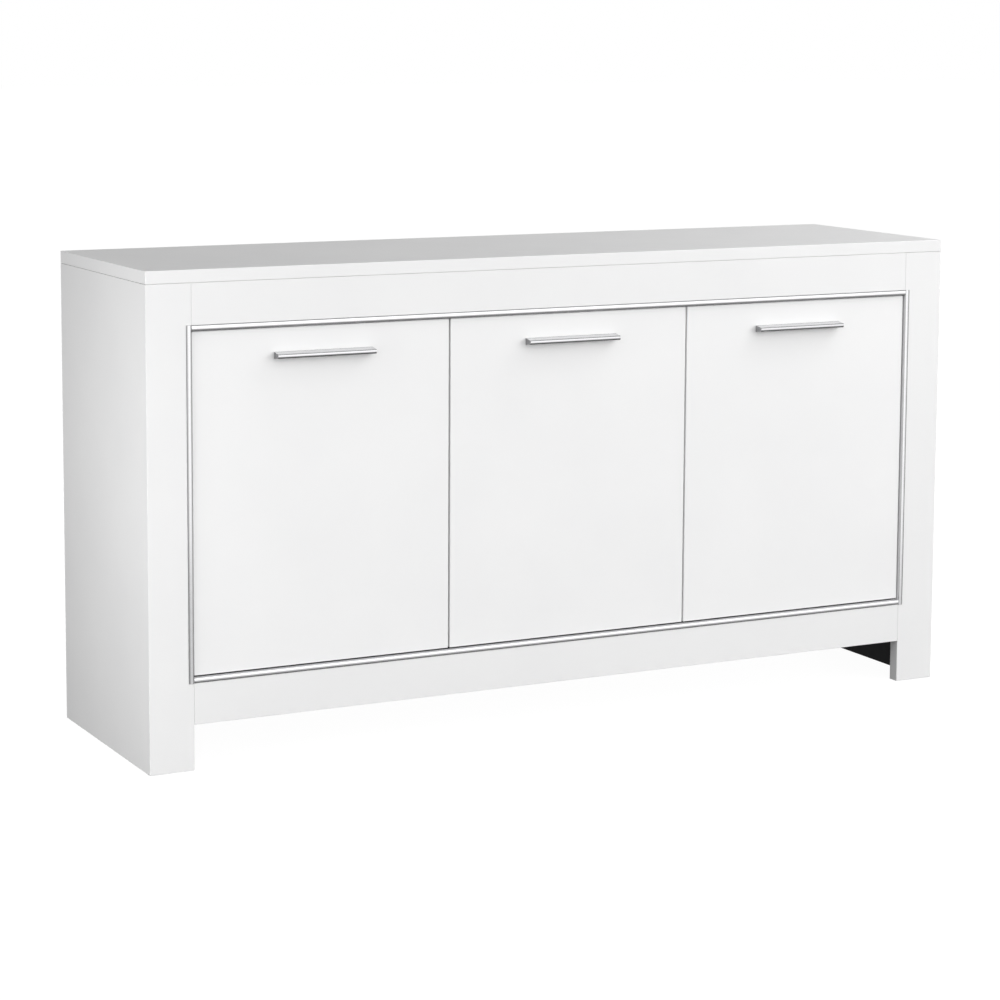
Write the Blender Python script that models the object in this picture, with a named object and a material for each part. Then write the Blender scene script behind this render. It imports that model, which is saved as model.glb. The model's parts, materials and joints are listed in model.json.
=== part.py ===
"""White three-door sideboard buffet with chrome trim, built from its separate boards and fittings.

Metres, +Z up, front facing -Y.
The origin is on the floor, in the middle of the whole outline, pulls included.
"""
import math

import bmesh
import bpy
from mathutils import Matrix

# Overall size
WIDTH = 1.600
BODY_DEPTH = 0.435
HEIGHT = 0.850

# Boards
BOARD = 0.018
FRAME_THICK = 0.022
SIDE_THICK = 0.016
BACK_THICK = 0.003
BACK_RECESS = 0.008
POST_WIDTH = 0.080
PLINTH_LOW = 0.079
PLINTH_HIGH = 0.150
RAIL_LOW = 0.757
BOTTOM_TOP = 0.160
SHELF_TOP = 0.498
SHELF_SETBACK = 0.125
SHELF_END_PLAY = 0.001
BATTEN_DEPTH = 0.090
PARTITION_SETBACK = 0.027
PARTITION_STEP_Z = 0.751
CONTACT_GAP = 0.0003
MITRE_GAP = 0.0001
BOARD_EDGE = 0.0008
EDGE_STEPS = 2

# Chrome trim round the door opening
TRIM_WIDTH = 0.009
TRIM_DEPTH = 0.0115
TRIM_PROUD = 0.0015
TRIM_CROWN = 0.0018
TRIM_CROWN_STEPS = 12
TRIM_SHADOW_GAP = 0.0006

# Doors
DOOR_COUNT = 3
DOOR_THICK = 0.018
DOOR_RECESS = 0.004
DOOR_GAP = 0.0035
DOOR_SIDE_GAP = 0.0023
DOOR_TOP_GAP = 0.0018
DOOR_BOTTOM_GAP = 0.0035
DOOR_EDGE = 0.0012

# Pulls
PULL_LENGTH = 0.182
PULL_DEPTH = 0.020
PULL_TOP_DROP = 0.0414
PULL_END_THICK = 0.0020
NOSE_HEIGHT = 0.0080
NOSE_DEPTH = 0.0070
NOSE_LIP = 0.0009
WEB_THICK = 0.0026
FLANGE_THICK = 0.002
FLANGE_RISE = 0.0022
FLANGE_EDGE = 0.0005
FLANGE_DROP = 0.0098

# Cup hinges: u runs from the door's hinge edge across the door, v from the door's front face inwards
HINGE_END_DISTANCE = 0.090
PIVOT_U = 0.0115
PIVOT_V = 0.0076
CUP_CENTRE_U = 0.022
CUP_RADIUS = 0.0172
CUP_WALL = 0.0010
CUP_START_V = 0.0045
CUP_FLOOR = 0.0008
CUP_RIM_RADIUS = 0.019
EAR_LENGTH = 0.062
EAR_WIDTH = 0.014
EAR_OVERLAP = 0.001
RIM_THICK = 0.0010
PIN_RADIUS = 0.0010
PIN_LENGTH = 0.0258
EYE_HOLE_RADIUS = 0.0011
EYE_RADIUS = 0.0020
ARM_WIDTH = 0.010
ARM_THICK = 0.002
ARM_CHAMFER = 0.0012
ARM_ELBOW_U = 0.027
ARM_TURN_V = 0.0245
ARM_END_V = 0.082
PLATE_THICK = 0.0045
PLATE_START_V = 0.038
PLATE_WING_START_V = 0.053
PLATE_WING_END_V = 0.067
PLATE_END_V = 0.084
PLATE_HALF_WIDTH = 0.008
PLATE_WING_HALF = 0.024

# Shelf pins
SHELF_PIN_RADIUS = 0.0025
SHELF_PIN_INSIDE = 0.007
SHELF_PIN_OUTSIDE = 0.009
SHELF_PIN_COLLAR_RADIUS = 0.004
SHELF_PIN_COLLAR = 0.0015
SHELF_PIN_INSET = 0.040

# How far a boring tool reaches past the face it starts from
CUTTER_PAST = 0.002

# Derived places
PULL_PROUD = PULL_DEPTH - DOOR_RECESS
BACK_Y = (BODY_DEPTH + PULL_PROUD) / 2
FRONT_Y = BACK_Y - BODY_DEPTH
DOOR_FRONT_Y = FRONT_Y + DOOR_RECESS
TOP_UNDERSIDE = HEIGHT - FRAME_THICK
HALF = WIDTH / 2
OPENING_HALF = HALF - POST_WIDTH
INNER_HALF = HALF - SIDE_THICK
DOOR_LOW = PLINTH_HIGH + TRIM_WIDTH + DOOR_BOTTOM_GAP
DOOR_HIGH = RAIL_LOW - TRIM_WIDTH - DOOR_TOP_GAP
DOOR_WIDTH = (2 * (OPENING_HALF - DOOR_SIDE_GAP) - (DOOR_COUNT - 1) * DOOR_GAP) / DOOR_COUNT
DOOR_PITCH = DOOR_WIDTH + DOOR_GAP
PARTITION_X = DOOR_PITCH / 2
INNER_BACK_Y = BACK_Y - BACK_RECESS - BACK_THICK - CONTACT_GAP
CARCASS_TOP = TOP_UNDERSIDE - CONTACT_GAP
FRAME_BACK_Y = FRONT_Y + FRAME_THICK + CONTACT_GAP
TRIM_FRONT_Y = FRONT_Y - TRIM_PROUD


def clear_scene():
    """Empties the scene, so that only the sideboard is in it."""
    for old in list(bpy.data.objects):
        bpy.data.objects.remove(old, do_unlink=True)


def make_material(name, colour, roughness, metallic=0.0):
    """A plain Principled material."""
    material = bpy.data.materials.new(name)
    material.use_nodes = True
    shader = material.node_tree.nodes["Principled BSDF"]
    shader.inputs["Base Color"].default_value = (*colour, 1.0)
    shader.inputs["Roughness"].default_value = roughness
    shader.inputs["Metallic"].default_value = metallic
    return material


def mesh_from(bm, name):
    """Closes off a bmesh as a mesh whose faces point out."""
    bmesh.ops.recalc_face_normals(bm, faces=bm.faces)
    mesh = bpy.data.meshes.new(name)
    bm.to_mesh(mesh)
    bm.free()
    return mesh


def box_mesh(size, edge=0.0):
    """A box centred on its origin, with every edge rounded off."""
    bm = bmesh.new()
    bmesh.ops.create_cube(bm, size=1.0)
    bmesh.ops.scale(bm, vec=size, verts=bm.verts)
    if edge:
        bmesh.ops.bevel(bm, geom=bm.edges, offset=edge, segments=EDGE_STEPS, profile=0.5, affect="EDGES")
    return mesh_from(bm, "box")


def prism_mesh(outline, low, high, along):
    """Pushes a closed outline along X, Y or Z, from low to high.

    The outline's two numbers are the other two coordinates, in X, Y, Z order.
    """
    axis = "XYZ".index(along)
    bm = bmesh.new()
    ends = []
    for level in (low, high):
        ring = []
        for point in outline:
            place = list(point)
            place.insert(axis, level)
            ring.append(bm.verts.new(place))
        ends.append(ring)
        bm.faces.new(ring)
    count = len(outline)
    for i in range(count):
        j = (i + 1) % count
        bm.faces.new((ends[0][i], ends[0][j], ends[1][j], ends[1][i]))
    return mesh_from(bm, "prism")


def turned_mesh(profile, sides, along):
    """Turns a closed profile of (radius, distance) points about an axis. A radius of 0 closes the end."""
    axis = "XYZ".index(along)
    bm = bmesh.new()
    rings = []
    for radius, distance in profile:
        ring = []
        for i in range(sides if radius > 0 else 1):
            turn = 2 * math.pi * i / sides
            place = [radius * math.cos(turn), radius * math.sin(turn)]
            place.insert(axis, distance)
            ring.append(bm.verts.new(place))
        rings.append(ring)
    for near, far in zip(rings, rings[1:]):
        for i in range(sides):
            j = (i + 1) % sides
            corners = [near[i % len(near)], near[j % len(near)], far[j % len(far)], far[i % len(far)]]
            bm.faces.new(list(dict.fromkeys(corners)))
    return mesh_from(bm, "turned")


def moved(mesh, offset):
    """Shifts a mesh within its object."""
    mesh.transform(Matrix.Translation(offset))
    return mesh


def combine(mesh, tool, operation):
    """Cuts the tool out of the mesh, or joins it on, with an exact Boolean."""
    target = bpy.data.objects.new("target", mesh)
    other = bpy.data.objects.new("tool", tool)
    for item in (target, other):
        bpy.context.scene.collection.objects.link(item)
    modifier = target.modifiers.new("combine", "BOOLEAN")
    modifier.operation = operation
    modifier.solver = "EXACT"
    modifier.object = other
    bpy.context.view_layer.update()
    graph = bpy.context.evaluated_depsgraph_get()
    result = bpy.data.meshes.new_from_object(target.evaluated_get(graph))
    for item in (target, other):
        bpy.data.objects.remove(item, do_unlink=True)
    return result


def arc(centre, radius, start, end, steps):
    """Points on an arc, angles in degrees."""
    points = []
    for i in range(steps + 1):
        turn = math.radians(start + (end - start) * i / steps)
        points.append((centre[0] + radius * math.cos(turn), centre[1] + radius * math.sin(turn)))
    return points


def add_part(name, mesh, material, location=(0.0, 0.0, 0.0), parent=None, smooth=False):
    """Adds a named piece. Its location is in the sideboard's frame, also when it hangs on a hinge axis."""
    mesh = mesh.copy()
    mesh.name = name
    mesh.materials.clear()
    mesh.materials.append(material)
    if smooth:
        mesh.shade_smooth()
        mesh.set_sharp_from_angle(angle=math.radians(30))
    part = bpy.data.objects.new(name, mesh)
    bpy.context.scene.collection.objects.link(part)
    part.location = location
    if parent is not None:
        part.parent = parent
        part.location = part.location - parent.location
    return part


def add_board(name, low, high, material, edge=BOARD_EDGE, parent=None):
    """Adds a rectangular board between two opposite corners."""
    size = [h - l for l, h in zip(low, high)]
    centre = [(h + l) / 2 for l, h in zip(low, high)]
    return add_part(name, box_mesh(size, edge), material, centre, parent)


def build_carcass(white, charcoal, hardboard):
    """Top, sides, bottom, partitions, battens, back and rear rail."""
    add_board("top_panel", (-HALF, FRONT_Y, TOP_UNDERSIDE), (HALF, BACK_Y, HEIGHT), white)
    for side, name in ((-1, "left"), (1, "right")):
        outline = [
            (side * HALF, FRONT_Y + MITRE_GAP),
            (side * HALF, BACK_Y),
            (side * INNER_HALF, BACK_Y),
            (side * INNER_HALF, FRONT_Y + CONTACT_GAP + SIDE_THICK),
        ]
        add_part(f"side_panel_{name}", prism_mesh(outline, 0.0, CARCASS_TOP, "Z"), white)

    inside = INNER_HALF - CONTACT_GAP
    bottom_low = BOTTOM_TOP - BOARD
    add_board(
        "bottom_panel",
        (-inside, FRAME_BACK_Y, bottom_low),
        (inside, INNER_BACK_Y, BOTTOM_TOP),
        charcoal,
    )
    add_board(
        "rear_rail",
        (-inside, INNER_BACK_Y - BOARD, PLINTH_LOW),
        (inside, INNER_BACK_Y, bottom_low - CONTACT_GAP),
        charcoal,
    )
    add_board(
        "back_panel",
        (-inside, BACK_Y - BACK_RECESS - BACK_THICK, PLINTH_LOW),
        (inside, BACK_Y - BACK_RECESS, CARCASS_TOP),
        hardboard,
        edge=0.0,
    )
    build_partitions(charcoal)
    for side, name in ((-1, "left"), (1, "right")):
        across = sorted((side * OPENING_HALF, side * (OPENING_HALF + BOARD)))
        add_board(
            f"hinge_batten_{name}",
            (across[0], FRAME_BACK_Y, BOTTOM_TOP + CONTACT_GAP),
            (across[1], FRAME_BACK_Y + BATTEN_DEPTH, CARCASS_TOP),
            charcoal,
        )


def build_partitions(charcoal):
    """Upright boards behind the door gaps, stepped forwards above the doors to meet the top rail."""
    door_clear_y = FRONT_Y + PARTITION_SETBACK
    bottom = BOTTOM_TOP + CONTACT_GAP
    outline = [
        (door_clear_y, bottom),
        (INNER_BACK_Y, bottom),
        (INNER_BACK_Y, CARCASS_TOP),
        (FRAME_BACK_Y, CARCASS_TOP),
        (FRAME_BACK_Y, PARTITION_STEP_Z),
        (door_clear_y, PARTITION_STEP_Z),
    ]
    for side, name in ((-1, "left"), (1, "right")):
        mesh = prism_mesh(outline, -BOARD / 2, BOARD / 2, "X")
        for face in (-1, 1):
            for y in shelf_pin_places():
                bore = pin_bore(face)
                mesh = combine(mesh, moved(bore, (face * BOARD / 2, y, pin_height())), "DIFFERENCE")
        add_part(f"partition_{name}", mesh, charcoal, (side * PARTITION_X, 0.0, 0.0))


def build_front_frame(white):
    """The two posts, notched for the trim, and the rails between them."""
    notch = TRIM_WIDTH + TRIM_SHADOW_GAP
    for side, name in ((-1, "left"), (1, "right")):
        outline = [
            (side * (HALF - MITRE_GAP), FRONT_Y),
            (side * OPENING_HALF, FRONT_Y),
            (side * OPENING_HALF, FRONT_Y + FRAME_THICK),
            (side * (INNER_HALF - CONTACT_GAP), FRONT_Y + FRAME_THICK),
            (side * (INNER_HALF - CONTACT_GAP), FRONT_Y + SIDE_THICK),
        ]
        post = prism_mesh(outline, 0.0, CARCASS_TOP, "Z")
        cutter_depth = TRIM_DEPTH - TRIM_PROUD + CONTACT_GAP
        cutter = box_mesh((2 * notch, 2 * cutter_depth, RAIL_LOW - PLINTH_HIGH + 2 * CONTACT_GAP))
        middle = (side * OPENING_HALF, FRONT_Y, (RAIL_LOW + PLINTH_HIGH) / 2)
        post = combine(post, moved(cutter, middle), "DIFFERENCE")
        add_part(f"post_{name}", post, white)

    across = OPENING_HALF - CONTACT_GAP
    frame_back = FRONT_Y + FRAME_THICK
    add_board("top_rail", (-across, FRONT_Y, RAIL_LOW), (across, frame_back, CARCASS_TOP), white)
    add_board("plinth_rail", (-across, FRONT_Y, PLINTH_LOW), (across, frame_back, PLINTH_HIGH), white)


def trim_section():
    """Section of the trim as (across, depth): straight sides and a crowned front, half an ellipse."""
    points = [(0.0, TRIM_DEPTH)]
    for i in range(TRIM_CROWN_STEPS + 1):
        turn = math.pi * (1 - i / TRIM_CROWN_STEPS)
        across = TRIM_WIDTH / 2 * (1 + math.cos(turn))
        points.append((across, TRIM_CROWN * (1 - math.sin(turn))))
    points.append((TRIM_WIDTH, TRIM_DEPTH))
    return points


def build_trim(chrome):
    """Four chrome strips: the uprights run full height, and the level ones fit between them."""
    section = trim_section()
    for side, name in ((-1, "left"), (1, "right")):
        outer = OPENING_HALF + TRIM_WIDTH
        outline = [(side * (outer - across), TRIM_FRONT_Y + depth) for across, depth in section]
        add_part(f"trim_{name}", prism_mesh(outline, PLINTH_HIGH, RAIL_LOW, "Z"), chrome, smooth=True)
    length = OPENING_HALF - CONTACT_GAP
    for name, outer, inwards in (
        ("top", RAIL_LOW - TRIM_SHADOW_GAP, -1),
        ("bottom", PLINTH_HIGH + CONTACT_GAP, 1),
    ):
        outline = [(TRIM_FRONT_Y + depth, outer + inwards * across) for across, depth in section]
        add_part(f"trim_{name}", prism_mesh(outline, -length, length, "X"), chrome, smooth=True)


def shelf_pin_places():
    """How far back the front and rear shelf pins are."""
    shelf_front = FRONT_Y + SHELF_SETBACK
    return (shelf_front + SHELF_PIN_INSET, INNER_BACK_Y - SHELF_PIN_INSET)


def pin_height():
    """Height of the shelf pins' centre line, just under the shelves."""
    return SHELF_TOP - BOARD - SHELF_PIN_COLLAR_RADIUS - CONTACT_GAP


def pin_bore(face):
    """Cutter for a shelf pin's hole: from the board's face inwards, against the face's direction."""
    radius = SHELF_PIN_RADIUS + CONTACT_GAP
    deep = -face * (SHELF_PIN_INSIDE + CONTACT_GAP)
    out = face * CUTTER_PAST
    return turned_mesh([(0, deep), (radius, deep), (radius, out), (0, out)], 16, "X")


def shelf_pin_mesh(face):
    """A turned pin with a collar that rests on the board's face, pointing out of it."""
    r = SHELF_PIN_RADIUS
    collar = CONTACT_GAP + SHELF_PIN_COLLAR
    profile = [
        (0, -SHELF_PIN_INSIDE),
        (r, -SHELF_PIN_INSIDE),
        (r, CONTACT_GAP),
        (SHELF_PIN_COLLAR_RADIUS, CONTACT_GAP),
        (SHELF_PIN_COLLAR_RADIUS, collar),
        (r, collar),
        (r, SHELF_PIN_OUTSIDE),
        (0, SHELF_PIN_OUTSIDE),
    ]
    return turned_mesh([(radius, face * distance) for radius, distance in profile], 16, "X")


def build_shelves(charcoal, nickel):
    """One shelf in each compartment, resting on four pins."""
    compartments = (
        ("left", -INNER_HALF, -PARTITION_X - BOARD / 2),
        ("middle", -PARTITION_X + BOARD / 2, PARTITION_X - BOARD / 2),
        ("right", PARTITION_X + BOARD / 2, INNER_HALF),
    )
    for name, left, right in compartments:
        add_board(
            f"shelf_{name}",
            (left + SHELF_END_PLAY, FRONT_Y + SHELF_SETBACK, SHELF_TOP - BOARD),
            (right - SHELF_END_PLAY, INNER_BACK_Y - SHELF_END_PLAY, SHELF_TOP),
            charcoal,
        )
        for x, face, end in ((left, 1, "left"), (right, -1, "right")):
            for y, row in zip(shelf_pin_places(), ("front", "rear")):
                place = (x, y, pin_height())
                add_part(f"shelf_pin_{name}_{end}_{row}", shelf_pin_mesh(face), nickel, place, smooth=True)


def bore_side_panels():
    """Cuts the shelf pin holes in the side panels."""
    for side, name in ((-1, "left"), (1, "right")):
        panel = bpy.data.objects[f"side_panel_{name}"]
        mesh = panel.data
        for y in shelf_pin_places():
            bore = moved(pin_bore(-side), (side * INNER_HALF, y, pin_height()))
            mesh = combine(mesh, bore, "DIFFERENCE")
        panel.data = mesh


def pull_mesh():
    """A finger pull: a flange on the door, a web sloping down forwards, a round nose and closed ends.

    Origin on the door's face, level with the flange's top edge. The grip behind the nose is open downwards.
    """
    nose_top = -FLANGE_RISE
    nose_low = nose_top - NOSE_HEIGHT
    nose_radius = NOSE_HEIGHT / 2
    nose_centre = (-PULL_DEPTH + nose_radius, nose_top - nose_radius)
    nose_back = -PULL_DEPTH + NOSE_DEPTH
    flange_back = -CONTACT_GAP
    flange_front = flange_back - FLANGE_THICK
    flange_low = nose_top - FLANGE_DROP
    slope = (FLANGE_RISE - FLANGE_EDGE) / (flange_front - nose_centre[0])
    web_low_at_nose = nose_top + slope * (nose_back - nose_centre[0]) - WEB_THICK
    outline = [(flange_back, 0.0), (flange_front + FLANGE_EDGE, 0.0), (flange_front, -FLANGE_EDGE)]
    outline += arc(nose_centre, nose_radius, 90, 270, 14)
    outline += [(nose_back, nose_low), (flange_front, flange_low), (flange_back, flange_low)]
    pull = prism_mesh(outline, -PULL_LENGTH / 2, PULL_LENGTH / 2, "X")

    grip_low = flange_low - CUTTER_PAST
    grip = [
        (nose_back, web_low_at_nose),
        (flange_front, -FLANGE_EDGE - WEB_THICK),
        (flange_front, grip_low),
        (nose_back - NOSE_LIP - (nose_low - grip_low), grip_low),
        (nose_back, nose_low + NOSE_LIP),
    ]
    grip_half = PULL_LENGTH / 2 - PULL_END_THICK
    return combine(pull, prism_mesh(grip, -grip_half, grip_half, "X"), "DIFFERENCE")


def cup_mesh():
    """A hinge cup with its two screw ears and the riveted pin.

    Origin on the pivot line, u along +X, v along +Y.
    """
    start = CUP_START_V - PIVOT_V
    floor = start + CUP_FLOOR
    back = DOOR_THICK - PIVOT_V
    rim_low = back + CONTACT_GAP
    rim_high = rim_low + RIM_THICK
    inner = CUP_RADIUS - CUP_WALL
    profile = [
        (0, start),
        (CUP_RADIUS, start),
        (CUP_RADIUS, rim_low),
        (CUP_RIM_RADIUS, rim_low),
        (CUP_RIM_RADIUS, rim_high),
        (inner, rim_high),
        (inner, floor),
        (0, floor),
    ]
    cup = turned_mesh(profile, 40, "Y")
    centre_u = CUP_CENTRE_U - PIVOT_U
    moved(cup, (centre_u, 0.0, 0.0))
    ear_size = (EAR_WIDTH, RIM_THICK, (EAR_LENGTH - 2 * inner) / 2 - EAR_OVERLAP)
    for end in (-1, 1):
        ear = box_mesh(ear_size)
        level = end * (EAR_LENGTH - ear_size[2]) / 2
        moved(ear, (centre_u, (rim_low + rim_high) / 2, level))
        cup = combine(cup, ear, "UNION")
    half = PIN_LENGTH / 2
    pin = turned_mesh([(0, -half), (PIN_RADIUS, -half), (PIN_RADIUS, half), (0, half)], 16, "Z")
    return combine(cup, pin, "UNION")


def arm_mesh(face_u):
    """A cranked hinge arm with an eye round the pin. face_u is the mounting face, measured as u is."""
    half = ARM_THICK / 2
    elbow = ARM_ELBOW_U - PIVOT_U
    turn = ARM_TURN_V - PIVOT_V
    end = ARM_END_V - PIVOT_V
    seat = face_u + PLATE_THICK + 2 * CONTACT_GAP + half - PIVOT_U
    outline = [
        (0.0, -half),
        (elbow + half - ARM_CHAMFER, -half),
        (elbow + half, -half + ARM_CHAMFER),
        (elbow + half, turn + half - ARM_CHAMFER),
        (elbow + half - ARM_CHAMFER, turn + half),
        (seat + half, turn + half),
        (seat + half, end),
        (seat - half, end),
        (seat - half, turn - half + ARM_CHAMFER),
        (seat - half + ARM_CHAMFER, turn - half),
        (elbow - half, turn - half),
        (elbow - half, half),
        (0.0, half),
    ]
    arm = prism_mesh(outline, -ARM_WIDTH / 2, ARM_WIDTH / 2, "Z")
    width = ARM_WIDTH / 2
    eye = turned_mesh([(0, -width), (EYE_RADIUS, -width), (EYE_RADIUS, width), (0, width)], 24, "Z")
    arm = combine(arm, eye, "UNION")
    past = width + CUTTER_PAST
    hole = turned_mesh([(0, -past), (EYE_HOLE_RADIUS, -past), (EYE_HOLE_RADIUS, past), (0, past)], 16, "Z")
    return combine(arm, hole, "DIFFERENCE")


def plate_mesh(face_u):
    """The cross-shaped mounting plate under the arm, lying on the batten or partition."""
    outline = [
        (PLATE_START_V, -PLATE_HALF_WIDTH),
        (PLATE_WING_START_V, -PLATE_HALF_WIDTH),
        (PLATE_WING_START_V, -PLATE_WING_HALF),
        (PLATE_WING_END_V, -PLATE_WING_HALF),
        (PLATE_WING_END_V, -PLATE_HALF_WIDTH),
        (PLATE_END_V, -PLATE_HALF_WIDTH),
        (PLATE_END_V, PLATE_HALF_WIDTH),
        (PLATE_WING_END_V, PLATE_HALF_WIDTH),
        (PLATE_WING_END_V, PLATE_WING_HALF),
        (PLATE_WING_START_V, PLATE_WING_HALF),
        (PLATE_WING_START_V, PLATE_HALF_WIDTH),
        (PLATE_START_V, PLATE_HALF_WIDTH),
    ]
    shifted = [(v - PIVOT_V, z) for v, z in outline]
    low = face_u + CONTACT_GAP - PIVOT_U
    return prism_mesh(shifted, low, low + PLATE_THICK, "X")


def door_mesh(hinge_side, hinge_levels):
    """A door leaf with a blind bore for each hinge cup. Origin on the hinge axis at floor level."""
    height = DOOR_HIGH - DOOR_LOW
    leaf = box_mesh((DOOR_WIDTH, DOOR_THICK, height), DOOR_EDGE)
    centre_u = DOOR_WIDTH / 2 - PIVOT_U
    centre = (hinge_side * centre_u, DOOR_THICK / 2 - PIVOT_V, (DOOR_LOW + DOOR_HIGH) / 2)
    moved(leaf, centre)
    radius = CUP_RADIUS + CONTACT_GAP
    deep = CUP_START_V - CONTACT_GAP - PIVOT_V
    out = DOOR_THICK - PIVOT_V + CUTTER_PAST
    for level in hinge_levels:
        bore = turned_mesh([(0, deep), (radius, deep), (radius, out), (0, out)], 40, "Y")
        moved(bore, (hinge_side * (CUP_CENTRE_U - PIVOT_U), 0.0, level))
        leaf = combine(leaf, bore, "DIFFERENCE")
    return leaf


def mirrored(mesh):
    """Swaps left and right within the mesh and turns its faces out again."""
    mesh.transform(Matrix.Scale(-1, 4, (1, 0, 0)))
    mesh.flip_normals()
    return mesh


def build_door(name, centre_x, hinge_side, face_x, materials):
    """One door with its pull, its two hinges and the empty that marks its hinge axis.

    hinge_side is 1 for a door hinged at its left edge and -1 for one hinged at its right edge.
    face_x is the board face that carries the hinges.
    """
    white, chrome, nickel = materials
    edge_x = centre_x - hinge_side * DOOR_WIDTH / 2
    axis_place = (edge_x + hinge_side * PIVOT_U, DOOR_FRONT_Y + PIVOT_V, 0.0)
    axis = bpy.data.objects.new(f"door_{name}_axis", None)
    bpy.context.scene.collection.objects.link(axis)
    axis.location = axis_place

    levels = (DOOR_LOW + HINGE_END_DISTANCE, DOOR_HIGH - HINGE_END_DISTANCE)
    add_part(f"door_{name}", door_mesh(hinge_side, levels), white, axis_place, axis)
    pull_place = (centre_x, DOOR_FRONT_Y, DOOR_HIGH - PULL_TOP_DROP)
    add_part(f"pull_{name}", pull_mesh(), chrome, pull_place, axis, smooth=True)

    face_u = hinge_side * (face_x - edge_x)
    pieces = [cup_mesh(), arm_mesh(face_u), plate_mesh(face_u)]
    if hinge_side < 0:
        pieces = [mirrored(piece) for piece in pieces]
    for level, row in zip(levels, ("lower", "upper")):
        place = (axis_place[0], axis_place[1], level)
        add_part(f"hinge_cup_{name}_{row}", pieces[0], nickel, place, axis, smooth=True)
        add_part(f"hinge_arm_{name}_{row}", pieces[1], nickel, place, smooth=True)
        add_part(f"hinge_plate_{name}_{row}", pieces[2], nickel, place)


def build_sideboard():
    """The whole sideboard."""
    clear_scene()
    white = make_material("white_lacquer", (0.86, 0.86, 0.86), 0.38)
    charcoal = make_material("charcoal_melamine", (0.022, 0.022, 0.024), 0.55)
    chrome = make_material("chrome", (0.80, 0.80, 0.81), 0.10, 1.0)
    nickel = make_material("nickel_plate", (0.62, 0.61, 0.59), 0.28, 1.0)
    hardboard = make_material("hardboard", (0.210, 0.130, 0.072), 0.70)

    build_carcass(white, charcoal, hardboard)
    build_front_frame(white)
    build_trim(chrome)
    build_shelves(charcoal, nickel)
    bore_side_panels()
    fittings = (white, chrome, nickel)
    build_door("left", -DOOR_PITCH, 1, -OPENING_HALF, fittings)
    build_door("middle", 0.0, 1, -PARTITION_X + BOARD / 2, fittings)
    build_door("right", DOOR_PITCH, -1, OPENING_HALF, fittings)


build_sideboard()
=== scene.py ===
"""Looks for the white three-door sideboard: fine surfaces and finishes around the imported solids.

Metres, +Z up, front facing -Y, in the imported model's own frame.
"""

import json
import math

import bmesh
import bpy
from mathutils import Matrix, Vector


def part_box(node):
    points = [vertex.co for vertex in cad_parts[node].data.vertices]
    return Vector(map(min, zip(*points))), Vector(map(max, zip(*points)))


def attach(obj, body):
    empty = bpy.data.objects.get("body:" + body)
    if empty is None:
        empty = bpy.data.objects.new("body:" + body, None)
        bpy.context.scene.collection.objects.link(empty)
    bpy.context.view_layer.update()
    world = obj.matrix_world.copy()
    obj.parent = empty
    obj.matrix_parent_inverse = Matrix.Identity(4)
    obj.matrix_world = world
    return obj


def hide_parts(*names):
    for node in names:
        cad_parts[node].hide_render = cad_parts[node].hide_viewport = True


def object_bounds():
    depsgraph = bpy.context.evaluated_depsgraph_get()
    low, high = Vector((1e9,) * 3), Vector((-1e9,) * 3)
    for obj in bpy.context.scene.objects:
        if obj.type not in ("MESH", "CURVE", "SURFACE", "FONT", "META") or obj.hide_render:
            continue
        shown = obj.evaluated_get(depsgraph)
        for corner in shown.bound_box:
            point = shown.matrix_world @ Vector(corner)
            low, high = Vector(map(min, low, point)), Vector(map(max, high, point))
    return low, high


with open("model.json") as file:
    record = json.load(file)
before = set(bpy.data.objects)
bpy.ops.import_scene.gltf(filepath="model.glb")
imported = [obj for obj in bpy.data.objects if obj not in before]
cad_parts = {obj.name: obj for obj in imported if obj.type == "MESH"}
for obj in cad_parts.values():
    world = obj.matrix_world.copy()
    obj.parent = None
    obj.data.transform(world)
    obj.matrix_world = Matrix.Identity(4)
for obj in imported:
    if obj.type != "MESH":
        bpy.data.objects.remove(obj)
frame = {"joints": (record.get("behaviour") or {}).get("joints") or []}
cad_low, cad_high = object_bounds()

CARCASS = "carcass"
SIDES = ((-1, "left"), (1, "right"))
DOORS = ("left", "middle", "right")
HINGE_ROWS = ("lower", "upper")

# Edge rounding
CORNER_ROUND = 0.0010
LACQUER_EDGE = 0.0005
SLAB_EDGE = 0.0009
DOOR_EDGE = 0.0008
BOARD_EDGE = 0.0003
BAND_THICK = 0.0006
SEAM_GAP = 0.00002
CONTACT_GAP = 0.0003
CUTTER_PAST = 0.002
CUTTER_EDGE = 0.0001
SMOOTH_ANGLE = math.radians(35)

# A face looks along an axis if that part of its normal is over the first, and across it if under the second
LOOKS_ALONG = 0.9
LOOKS_ACROSS = 0.02

# Share of a side panel's thickness that is charcoal, from its inner face
INSIDE_SHARE = 0.48

# Trim section
TRIM_WIDTH = 0.009
TRIM_CROWN = 0.0018
TRIM_POWER = 2.2
TRIM_STEPS = 32
TRIM_END_ROUND = 0.00015

# Partitions: how far their front edge is cut back under the top trim, and from what height
PARTITION_SETBACK = 0.0047
PARTITION_STEP = 0.0026

# Shelf pins, and the rows of holes above and below those in use
PIN_SHAFT_RADIUS = 0.0025
PIN_COLLAR_RADIUS = 0.004
PIN_COLLAR_START = 0.0073
PIN_COLLAR = 0.0015
PIN_EASE = 0.0004
HOLE_PITCH = 0.032
HOLE_RADIUS = 0.0026
HOLE_DEPTH = 0.0073
HOLES_EACH_WAY = 3

# Back panel and its nails
BACK_EDGE = 0.0002
NAIL_INSET = 0.009
NAILS_ACROSS = 12
NAILS_UP = 6

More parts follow.
